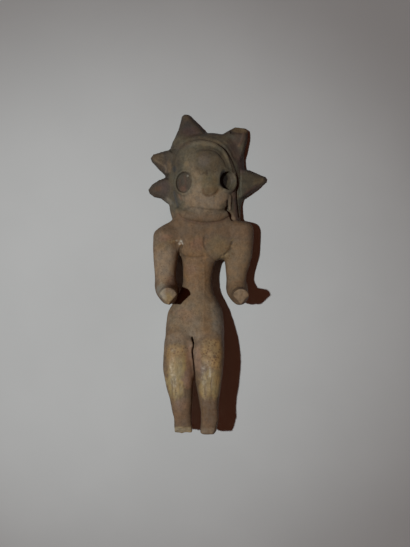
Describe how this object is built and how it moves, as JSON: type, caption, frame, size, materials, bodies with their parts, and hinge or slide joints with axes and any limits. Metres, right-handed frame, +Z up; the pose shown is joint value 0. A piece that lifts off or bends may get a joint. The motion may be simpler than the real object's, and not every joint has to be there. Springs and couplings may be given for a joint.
{
  "type": "standing clay figurine, broken at the feet",
  "caption": "Small solid fired-clay female figure with a spiked headdress, stub arms raised at the elbows and broken feet, lying on its back.",
  "frame": {"origin": "on the table, under the middle of the figure's bounding box", "axes": "+Y from the feet to the headdress, +Z up out of the face, +X to the viewer's right"},
  "size_m": [0.0472, 0.1252, 0.024],
  "materials": {
    "fired_clay": "burnished, worn and stained"
  },
  "bodies": {
    "root": {"figurine": "fired_clay"}
  },
  "joints": []
}
